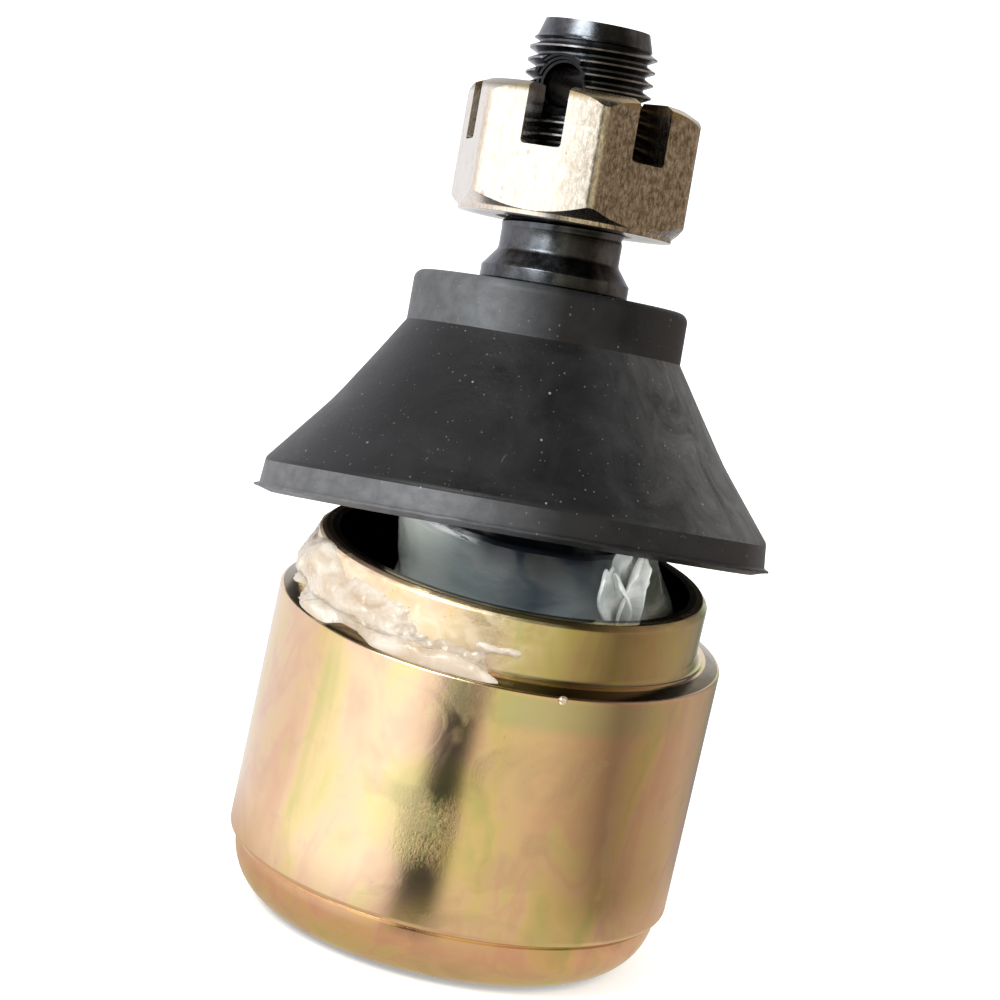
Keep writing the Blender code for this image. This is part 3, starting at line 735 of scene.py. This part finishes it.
def make_stud(look):
    """Ball, neck, flange and shank turned in one, a rolled thread, and a countersunk cotter hole."""
    segments = 96
    angles = [2.0 * math.pi * k / segments for k in range(segments + 1)]
    per_pitch = (0.0, 0.08, 0.16, 0.30, 0.43, 0.57, 0.70, 0.84, 0.92)
    turns = math.ceil((TIP - THREAD_START) / THREAD_PITCH) + 1
    samples = [turn + share for turn in range(-1, turns + 1) for share in per_pitch]
    rows = []
    for sample in reversed(samples):
        row = []
        for k, angle in enumerate(angles):
            height = THREAD_START + THREAD_PITCH * (sample + k / segments)
            height = min(max(height, THREAD_START), TIP)
            chamfer = TIP_RADIUS + 0.30 * max(TIP - height, 0.0) + 0.75 * max(TIP - 1.9 - height, 0.0)
            depth = min(max((height - THREAD_START) / (1.6 * THREAD_PITCH), 0.0), 1.0)
            cut = (THREAD_CREST - thread_radius(sample)) * smooth_step(0.9, 2.6, TIP - height)
            crest = THREAD_CREST - cut
            radius = SHANK_RADIUS + (crest - SHANK_RADIUS) * depth
            radius = min(radius, chamfer)
            if height <= THREAD_START:
                radius = SHANK_RADIUS
            if height >= TIP:
                radius = TIP_RADIUS
            row.append(round_axis(angle, radius, height))
        rows.append(row)
    lower = rounded([
        (SHANK_RADIUS, THREAD_START, 0.0),
        (SHANK_RADIUS, SHANK_START, 0.9),
        (FLANGE_RADIUS - 0.35, FLANGE_TOP + 0.35, 0.25),
        (FLANGE_RADIUS, FLANGE_TOP - 0.1, 0.2),
        (FLANGE_RADIUS, FLANGE_BOTTOM, 0.15),
        (NECK_RADIUS, FLANGE_BOTTOM, 0.0),
    ], closed=False)
    neck = math.asin(NECK_RADIUS / BALL_RADIUS)
    ball = [neck + (math.pi - neck) * step / 40 for step in range(41)]
    lower += [(BALL_RADIUS * math.sin(a), BALL_RADIUS * math.cos(a)) for a in ball]
    rows += [[round_axis(angle, radius, height) for angle in angles] for radius, height in lower]
    dish = [(0.0, TIP - 0.35), (1.0, TIP - 0.30), (TIP_RADIUS - 1.2, TIP - 0.05), (TIP_RADIUS - 0.5, TIP)]
    top_rows = [[round_axis(angle, radius, height) for angle in angles] for radius, height in dish]
    mesh = grid_mesh("threaded_stud", top_rows + rows, around=False)

    rings = [(0.0, 12.0), (COTTER_SINK + 0.9, 12.0), (COTTER_SINK + 0.9, 7.6)]
    ring_count = 5
    for ring in range(ring_count):
        share = ring / ring_count
        radius = COTTER_SINK + (COTTER_RADIUS - COTTER_SINK) * share
        depth = 6.9 - 1.9 * share
        rings += [(radius, depth), (radius - 0.06, depth - 0.30)]
    rings.append((COTTER_RADIUS, 4.6))
    rings += [(radius, -height) for radius, height in reversed(rings)]
    drill = turned("drill", rings, 40, looped=False)
    lie_down = Matrix.Rotation(math.pi / 2.0, 4, "X")
    aim = Matrix.Rotation(COTTER_TURN, 4, "Z")
    drill.transform(Matrix.Translation((0, 0, COTTER_HEIGHT * MM)) @ aim @ lie_down)
    mesh = carved(mesh, [(drill, "DIFFERENCE")], angle=28.0)
    mesh.name = "threaded_stud"
    place("threaded_stud", mesh, look, "ball_stud", STUD, stands_for=["ball_stud"], slot="ball_stud")


def prism(name, sides, flats, low, high, turn=0.0):
    """Upright prism whose first face looks along -Y before it is turned."""
    corner = flats / 2.0 / math.cos(math.pi / sides)
    rows = []
    for radius, height in ((0.0, high), (corner, high), (corner, low), (0.0, low)):
        angles = [turn + math.pi / sides + angle for angle in full_turn(sides)]
        rows.append([round_axis(angle, radius, height) for angle in angles])
    return grid_mesh(name, rows)


def box_mesh(name, size, centre, turn, round_bottom=0.0):
    """Box with its two long bottom edges rounded, turned about the upright axis."""
    mesh = bpy.data.meshes.new(name)
    bm = bmesh.new()
    bmesh.ops.create_cube(bm, size=1.0)
    bmesh.ops.scale(bm, verts=bm.verts, vec=Vector(size) * MM)
    if round_bottom:
        low = [e for e in bm.edges if all(v.co.z < 0.0 for v in e.verts)]
        along = [e for e in low if abs(e.verts[0].co.y - e.verts[1].co.y) > 1.0 * MM]
        bmesh.ops.bevel(bm, geom=along, offset=round_bottom * MM, segments=4, profile=0.5, affect="EDGES")
    bmesh.ops.translate(bm, verts=bm.verts, vec=Vector(centre) * MM)
    bmesh.ops.rotate(bm, verts=bm.verts, cent=(0, 0, 0), matrix=Matrix.Rotation(turn, 3, "Z"))
    bm.to_mesh(mesh)
    bm.free()
    return mesh


def make_nut(look):
    """Hexagon with rounded corners, chamfered both ends, six slots and a threaded bore."""
    blank = prism("nut_blank", 6, NUT_FLATS, 0.0, NUT_HEIGHT)
    bm = bmesh.new()
    bm.from_mesh(blank)
    upright = [e for e in bm.edges if abs(e.verts[0].co.z - e.verts[1].co.z) > 5.0 * MM]
    bmesh.ops.bevel(bm, geom=upright, offset=0.8 * MM, segments=4, profile=0.5, affect="EDGES")
    bm.to_mesh(blank)
    bm.free()
    face = NUT_FLATS / 2.0
    chamfer = turned("nut_chamfer", rounded([
        (0.0, NUT_HEIGHT, 0.0),
        (face - 0.9, NUT_HEIGHT, 0.5),
        (face + 1.1, NUT_HEIGHT - 0.95, 2.5),
        (face + 3.3, NUT_HEIGHT - 4.0, 0.0),
        (face + 3.3, 3.0, 0.0),
        (face - 0.1, 0.50, 0.3),
        (face - 0.1, 0.0, 0.12),
        (0.0, 0.0, 0.0),
    ], closed=False), 120, looped=False)
    bore = turned("bore", [
        (0.0, NUT_HEIGHT + 2.0), (NUT_BORE + 2.4, NUT_HEIGHT + 2.0), (NUT_BORE + 1.0, NUT_HEIGHT - 0.2),
        (NUT_BORE + 0.85, NUT_HEIGHT - 1.0), (NUT_BORE + 0.85, 0.9), (NUT_BORE + 1.5, -0.2),
        (NUT_BORE + 1.5, -2.0), (0.0, -2.0),
    ], 72, looped=False)
    cuts = [(chamfer, "INTERSECT"), (bore, "DIFFERENCE")]
    for index in range(6):
        size = (SLOT_WIDTH, 18.0, 2.0 * SLOT_DEPTH)
        slot = box_mesh("slot", size, (0, -13.0, NUT_HEIGHT), index * math.pi / 3.0, 0.45)
        cuts.append((slot, "DIFFERENCE"))
    mesh = carved(blank, cuts, angle=24.0, bevel=0.16)
    mesh.name = "castle_nut_body"
    matrix = STUD @ Matrix.Translation((0, 0, NUT_BOTTOM * MM)) @ Matrix.Rotation(NUT_TURN, 4, "Z")
    place("castle_nut_body", mesh, look, "castle_nut", matrix, stands_for=["castle_nut"], slot="castle_nut")


def make_boot(look):
    """Umbrella of rubber with a torn moulding lip round its rim and a bead inside."""
    corners = [
        (BOOT_BORE, BOOT_TOP, 0.25),
        (BOOT_HUB, BOOT_TOP, 1.1),
        (BOOT_HUB + 0.02, BOOT_HUB_BOTTOM, 0.35),
        (17.9, 41.35, 14.0),
        (21.9, 35.2, 30.0),
        (BOOT_RIM - 0.2, BOOT_BAND_TOP + 0.1, 0.9),
        (BOOT_RIM + 0.05, BOOT_BOTTOM + 0.55, 0.1),
        (BOOT_RIM + 0.45, BOOT_BOTTOM + 0.33, 0.05),
        (BOOT_RIM + 0.55, BOOT_BOTTOM + 0.10, 0.08),
        (BOOT_RIM - 0.1, BOOT_BOTTOM - 0.05, 0.1),
        (BOOT_RIM - 1.4, BOOT_BOTTOM - 0.45, 0.5),
        (BOOT_RIM - 2.7, BOOT_BOTTOM + 0.2, 0.5),
        (BOOT_RIM - 2.9, BOOT_BAND_TOP - 1.2, 1.2),
        (20.0, 34.2, 8.0),
        (15.3, 41.3, 2.0),
        (12.6, 43.1, 1.2),
        (BOOT_BORE, 43.3, 0.3),
    ]

    def ripple(angle, count, height):
        return noise.noise(Vector((math.sin(angle) * count, math.cos(angle) * count, height)))

    def torn(angle, radius, height):
        edge = max(0.0, radius - BOOT_RIM - 0.2)
        ragged = 0.55 * ripple(angle, 9.0, height * 0.4) + 0.35 * ripple(angle, 30.0, 3.0)
        out = edge * ragged * 1.6
        sway = 0.10 * ripple(angle, 1.3, height * 0.12)
        drop = edge * 0.5 * ripple(angle, 12.0, 8.0)
        return radius + out + sway, height + drop

    mesh = turned("umbrella_boot", rounded(corners), 288, wobble=torn)
    place("umbrella_boot", mesh, look, "leaning_group", STUD, stands_for=["dust_boot"], slot="dust_boot")


def make_grease(look):
    """Plug of grease that stands in the well like a cast of the boot, hollowed under its top edge."""
    across, ahead = PLUG_CENTRE
    profile = [(0.0, 35.35), (0.7, 35.4), (1.0, 36.0)]
    profile += [(1.0, 36.0 + (PLUG_TOP - 36.6) * step / 20) for step in range(1, 20)]
    profile += [(0.985, PLUG_TOP - 0.35), (0.95, PLUG_TOP), (0.91, PLUG_TOP - 0.15), (0.86, PLUG_TOP - 1.3)]
    profile += [(0.80, PLUG_TOP - 1.9), (0.72, PLUG_TOP - 1.6), (0.66, PLUG_TOP + 0.4)]
    profile += [(0.62, PLUG_TOP + 3.0), (0.58, PLUG_TOP + 4.6), (0.0, PLUG_TOP + 4.8)]
    count = 192
    rows = []
    for share, height in profile:
        row = []
        for angle in full_turn(count):
            right, front = math.sin(angle), math.cos(angle)
            top = PLUG_TOP - 4.6 * smooth_step(0.15, -0.6, front)
            z = 36.0 + (height - 36.0) * (top - 36.0) / (PLUG_TOP - 36.0) if height > 36.0 else height
            lump = noise.fractal(Vector((right * 1.5, front * 1.5, z * 0.13)), 0.8, 2.0, 3)
            fine = noise.noise(Vector((right * 7.0, front * 7.0, z * 0.35)))
            radius = PLUG_RADIUS + 0.45 * lump + 0.07 * fine
            radius += 1.1 * math.exp(-max(z - 36.0, 0.0) / 2.2)
            radius -= 1.6 * smooth_step(0.1, 0.9, right) * smooth_step(40.0, 46.0, z)
            z += 0.45 * share * lump if z > 44.0 else 0.0
            x = across * min(1.0, 0.3 + share) + radius * share * right - 0.20 * max(z - 40.0, 0.0) * share
            y = -(radius * share * front) + ahead + 2.6 * smooth_step(44.0, 53.0, z) * (1.0 - share)
            away = math.hypot(x, y)
            limit = COLLAR_BORE - 0.25
            if away > limit:
                x, y = x * limit / away, y * limit / away
            row.append((x, y, z))
        rows.append(row)
    mesh = grid_mesh("grease_plug", rows)
    stands_for = ["neck_grease", "well_grease"]
    piece = place("grease_plug", mesh, look, None, stands_for=stands_for, slot="neck_grease")
    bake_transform(piece)


def make_curl(look):
    """Torn petals of grease that stand on the plug's right side where the boot pulled away."""
    bm = bmesh.new()
    for bearing, width, low, high, lean, cup, twist in CURL_PETALS:
        steps, across = 22, 16
        grid = []
        for i in range(steps + 1):
            v = i / steps
            line = []
            for j in range(across + 1):
                u = 2.0 * j / across - 1.0
                full = math.sin(math.pi * min(0.05 + 0.85 * v, 0.93)) ** 0.7
                ragged = 2.0 * noise.noise(Vector((u * 1.4 + bearing, v * 2.2, lean)))
                torn = 1.6 * noise.noise(Vector((u * 3.0 + bearing, 3.0, twist)))
                sideways = u * full * width / 2.0 + twist * v + 0.40 * ragged * v
                away = PLUG_RADIUS - 0.15 + lean * v ** 1.5 + cup * u * u * (0.3 + v) + 0.5 * ragged * v
                z = low + (high - low) * v * (1.0 - 0.22 * u * u) + 0.8 * torn * v * v
                angle = math.radians(bearing)
                x = PLUG_CENTRE[0] + away * math.sin(angle) + sideways * math.cos(angle)
                y = PLUG_CENTRE[1] - away * math.cos(angle) + sideways * math.sin(angle)
                line.append(bm.verts.new(Vector((x, y, z)) * MM))
            grid.append(line)
        for i in range(steps):
            for j in range(across):
                bm.faces.new((grid[i][j], grid[i][j + 1], grid[i + 1][j + 1], grid[i + 1][j]))
    mesh = bpy.data.meshes.new("grease_curl")
    bm.to_mesh(mesh)
    bm.free()
    sheet = add_object("sheet", mesh)
    solid = sheet.modifiers.new("thick", "SOLIDIFY")
    solid.thickness = 0.40 * MM
    solid.offset = 0.0
    sheet.modifiers.new("soft", "SUBSURF").levels = 1
    graph = bpy.context.evaluated_depsgraph_get()
    made = bpy.data.meshes.new_from_object(sheet.evaluated_get(graph))
    bpy.data.objects.remove(sheet)
    curl = place("grease_curl", tidy(made, 60.0), look, None, slot="neck_grease")
    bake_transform(curl)


def make_smear(look):
    """Grease smeared on the collar and shoulder: lumps on the left, thinning out towards the front."""
    path = rounded([
        (COLLAR_RADIUS - 1.5, RIM_HEIGHT, 0.0),
        (COLLAR_RADIUS - 0.65, RIM_HEIGHT, 0.25),
        (COLLAR_RADIUS, RIM_HEIGHT - 0.7, 0.4),
        (COLLAR_RADIUS, SHOULDER_TOP, 1.4),
        (BODY_RADIUS - 0.25, BODY_TOP + 0.08, 0.0),
    ], closed=False)
    spans = [math.dist(a, b) for a, b in zip(path, path[1:])]
    length = sum(spans)
    steps, columns = 80, 420
    track = []
    for step in range(steps + 1):
        distance = length * step / steps
        at = 0
        while at < len(spans) - 1 and distance > spans[at]:
            distance -= spans[at]
            at += 1
        a, b = Vector(path[at]), Vector(path[at + 1])
        normal = Vector((b.y - a.y, a.x - b.x)).normalized() * -1.0
        track.append((a.lerp(b, min(distance / spans[at], 1.0)), normal, step / steps))
    start, end = math.radians(-108.0), math.radians(20.0)
    outer, inner = [], []
    for point, normal, down in track:
        out_row, in_row = [], []
        for k in range(columns + 1):
            angle = start + (end - start) * k / columns
            bearing = math.degrees(angle)
            spot = Vector((math.sin(angle) * 7.0, math.cos(angle) * 7.0, down * 4.0))
            warp = 0.5 * noise.noise(spot * 0.9)
            thick = -0.42 + 0.34 * noise.fractal(spot, 0.7, 2.1, 4)
            for middle, height, wide, tall, amount in SMEAR_LUMPS:
                across = (bearing + 7.0 * warp - middle) / wide
                along = (down + 0.10 * warp - height) / tall
                thick += amount * math.exp(-(across * across + along * along) ** 1.3)
            ends = min(k / 14.0, (columns - k) / 14.0, 1.0)
            sides = min(down / 0.05, (1.0 - down) / 0.05, 1.0)
            fade = ends * sides
            thick = min(max(thick * fade - 0.40 * (1.0 - fade), -0.40), 1.7)
            out_row.append(round_axis(angle, *(point + normal * thick)))
            in_row.append(round_axis(angle, *(point - normal * 0.5)))
        outer.append(out_row)
        inner.append(in_row)
    mesh = grid_mesh("collar_grease", outer + list(reversed(inner)), around=False, looped=True)
    bm = bmesh.new()
    bm.from_mesh(mesh)
    bmesh.ops.holes_fill(bm, edges=[edge for edge in bm.edges if edge.is_boundary], sides=0)
    bm.to_mesh(mesh)
    bm.free()
    mesh = tidy(mesh, 60.0)
    place("collar_grease", mesh, look, "housing", stands_for=["collar_smear"], slot="collar_smear")


def make_droplet(look):
    """Drop of clear oil on the edge of the shoulder."""
    bands, count = 12, 24
    rows = []
    for band in range(bands + 1):
        tilt = math.pi * band / bands
        sag = 1.0 + 0.25 * (1.0 - math.cos(tilt)) / 2.0
        row = []
        for angle in full_turn(count):
            right, front = 0.50 * math.cos(angle), 0.38 * math.sin(angle)
            row.append((right * math.sin(tilt), front * math.sin(tilt), 0.42 * sag * math.cos(tilt)))
        rows.append(row)
    mesh = grid_mesh("oil_drop", rows)
    spot = Vector(round_axis(math.radians(19.0), BODY_RADIUS + 0.2, BODY_TOP - 0.05))
    mesh.transform(Matrix.Translation(spot * MM))
    place("oil_drop", mesh, look, "housing")


# ---------------------------------------------------------------- studio


def reflection_colours(nodes):
    """Light round the studio by bearing, from behind left, past the camera, to behind right."""
    stops = [
        (-180.0, (0.95, 0.97, 1.02)),
        (-125.0, (0.92, 0.88, 0.92)),
        (-92.0, (0.95, 0.84, 0.78)),
        (-66.0, (1.25, 1.20, 1.16)),
        (-36.0, (1.35, 1.33, 1.30)),
        (-22.0, (1.05, 0.98, 0.90)),
        (-15.0, (0.05, 0.05, 0.05)),
        (-4.0, (0.05, 0.05, 0.05)),
        (3.0, (0.80, 0.72, 0.50)),
        (32.0, (0.72, 0.60, 0.43)),
        (50.0, (0.50, 0.41, 0.27)),
        (68.0, (0.24, 0.18, 0.13)),
        (92.0, (0.42, 0.32, 0.23)),
        (118.0, (0.52, 0.41, 0.34)),
        (140.0, (0.40, 0.34, 0.30)),
        (152.0, (0.25, 0.24, 0.25)),
        (170.0, (0.90, 0.90, 0.90)),
    ]
    return nodes.ramp(nodes.share(), *[((bearing + 180.0) / 360.0, colour) for bearing, colour in stops])


def make_world():
    """Even white for the camera and for diffuse light, and a surround that only reflections see."""
    world = bpy.data.worlds.new("studio")
    bpy.context.scene.world = world
    world.use_nodes = True
    world.node_tree.nodes.clear()
    nodes = Nodes(world.node_tree, "Generated")
    even = nodes.node("ShaderNodeBackground", {0: (1.0, 1.0, 1.0), 1: 0.85})
    overhead = nodes.ramp(nodes.split(nodes.place)[2], (0.50, 1.0), (0.88, (0.10, 0.10, 0.11)))
    surround = nodes.node("ShaderNodeBackground", {0: reflection_colours(nodes), 1: overhead})
    glossy = nodes.node("ShaderNodeLightPath").outputs["Is Glossy Ray"]
    both = nodes.node("ShaderNodeMixShader", {0: glossy, 1: even.outputs[0], 2: surround.outputs[0]})
    nodes.node("ShaderNodeOutputWorld", {0: both.outputs[0]})


def make_studio():
    """Pale floor, the surround's colours just above it for reflections, and two softboxes."""
    floor = Look("pale_floor", Roughness=0.9, Specular_IOR_Level=0.0, Emission_Strength=0.35)
    floor.join((0.93, 0.93, 0.93), floor.shader.inputs["Base Color"])
    floor.join((1.0, 1.0, 1.0), floor.shader.inputs["Emission Color"])
    sheet = bpy.data.materials.new("reflected_surround")
    sheet.use_nodes = True
    sheet.node_tree.nodes.clear()
    nodes = Nodes(sheet.node_tree, "Object")
    ends = {"From Min": 0.030, "From Max": 0.050, "Value": nodes.length(nodes.place)}
    far = nodes.node("ShaderNodeMapRange", ends).outputs[0]
    colour = nodes.mix(far, (0.66, 0.54, 0.42), reflection_colours(nodes))
    glow = nodes.node("ShaderNodeEmission", {0: colour})
    nodes.node("ShaderNodeOutputMaterial", {0: glow.outputs[0]})
    cards = ("floor", 3.0, -0.0002, floor.material), ("surround_card", 2.9, -0.0001, sheet)
    for name, half, height, finish in cards:
        mesh = bpy.data.meshes.new(name)
        signs = (-1, -1), (1, -1), (1, 1), (-1, 1)
        mesh.from_pydata([(x * half, y * half, height) for x, y in signs], [], [(0, 1, 2, 3)])
        mesh.materials.append(finish)
        made = add_object(name, mesh)
    for ray in ("camera", "diffuse", "shadow", "transmission", "volume_scatter"):
        setattr(made, f"visible_{ray}", False)

    for name, spot, size, power in (
        ("key_softbox", (-0.55, -0.55, 0.75), 0.55, 9.0),
        ("fill_softbox", (0.75, -0.35, 0.60), 0.60, 3.5),
    ):
        light = bpy.data.lights.new(name, "AREA")
        light.shape = "SQUARE"
        light.size = size
        light.energy = power
        lamp = add_object(name, light)
        lamp.location = spot
        lamp.visible_glossy = name == "key_softbox"
        lamp.rotation_euler = (Vector((0, 0, 0.05)) - Vector(spot)).to_track_quat("-Z", "Y").to_euler()


def make_camera():
    """Camera a little above the joint and rolled, so that the joint leans in its picture."""
    ahead = Vector((0.0, math.cos(VIEW_ELEVATION), -math.sin(VIEW_ELEVATION)))
    level_up = Vector((0.0, math.sin(VIEW_ELEVATION), math.cos(VIEW_ELEVATION)))
    level_right = Vector((1.0, 0.0, 0.0))
    right = level_right * math.cos(VIEW_ROLL) + level_up * math.sin(VIEW_ROLL)
    up = level_up * math.cos(VIEW_ROLL) - level_right * math.sin(VIEW_ROLL)
    data = bpy.data.cameras.new("camera")
    data.lens = LENS
    data.sensor_width = 36.0
    camera = add_object("camera", data)
    across, above = BALL_IN_VIEW
    spot = BALL - (right * across + up * above + ahead * VIEW_DISTANCE) * MM
    camera.matrix_world = Matrix((
        (right.x, up.x, -ahead.x, spot.x),
        (right.y, up.y, -ahead.y, spot.y),
        (right.z, up.z, -ahead.z, spot.z),
        (0.0, 0.0, 0.0, 1.0),
    ))
    bpy.context.scene.camera = camera


# ---------------------------------------------------------------- scene

bpy.context.scene.view_settings.view_transform = "Standard"
make_camera()
make_world()
make_studio()

pale_grease = grease_look("pale_grease", (0.38, 0.42, 0.41), (0.66, 0.68, 0.64), 0.12)
cream_grease = grease_look("cream_grease", (0.42, 0.32, 0.22), (0.63, 0.58, 0.50), 0.12, 0.8, 0.05)

make_housing(plated_look("yellow_zinc", BODY_RADIUS, greased=True))
make_stud(oxide_look())
make_nut(nut_look())
make_boot(rubber_look())
make_grease(plug_look())
make_curl(pale_grease)
make_smear(cream_grease)
make_droplet(oil_look())

for node, look in {
    "cover_plate": plated_look("cover_zinc", 12.0, (0.92, 0.90, 0.85)),
    "preload_spring": steel_look("spring_steel", (0.16, 0.16, 0.17), (0.30, 0.30, 0.31), 0.3, 14.0),
    "pressure_plate": steel_look("plate_steel", (0.42, 0.42, 0.43), (0.58, 0.58, 0.58), 0.3, 14.0),
    "lower_bearing_seat": plastic_look("acetal", (0.78, 0.75, 0.66), (0.88, 0.86, 0.79)),
    "upper_bearing_race": steel_look("race_steel", (0.38, 0.38, 0.39), (0.52, 0.52, 0.53), 0.2, 17.0),
    "socket_grease": grease_look("socket_grease", (0.55, 0.55, 0.50), (0.72, 0.72, 0.66), 0.2),
}.items():
    mesh = frame["nodes"][node].data
    mesh.materials.clear()
    mesh.materials.append(look)
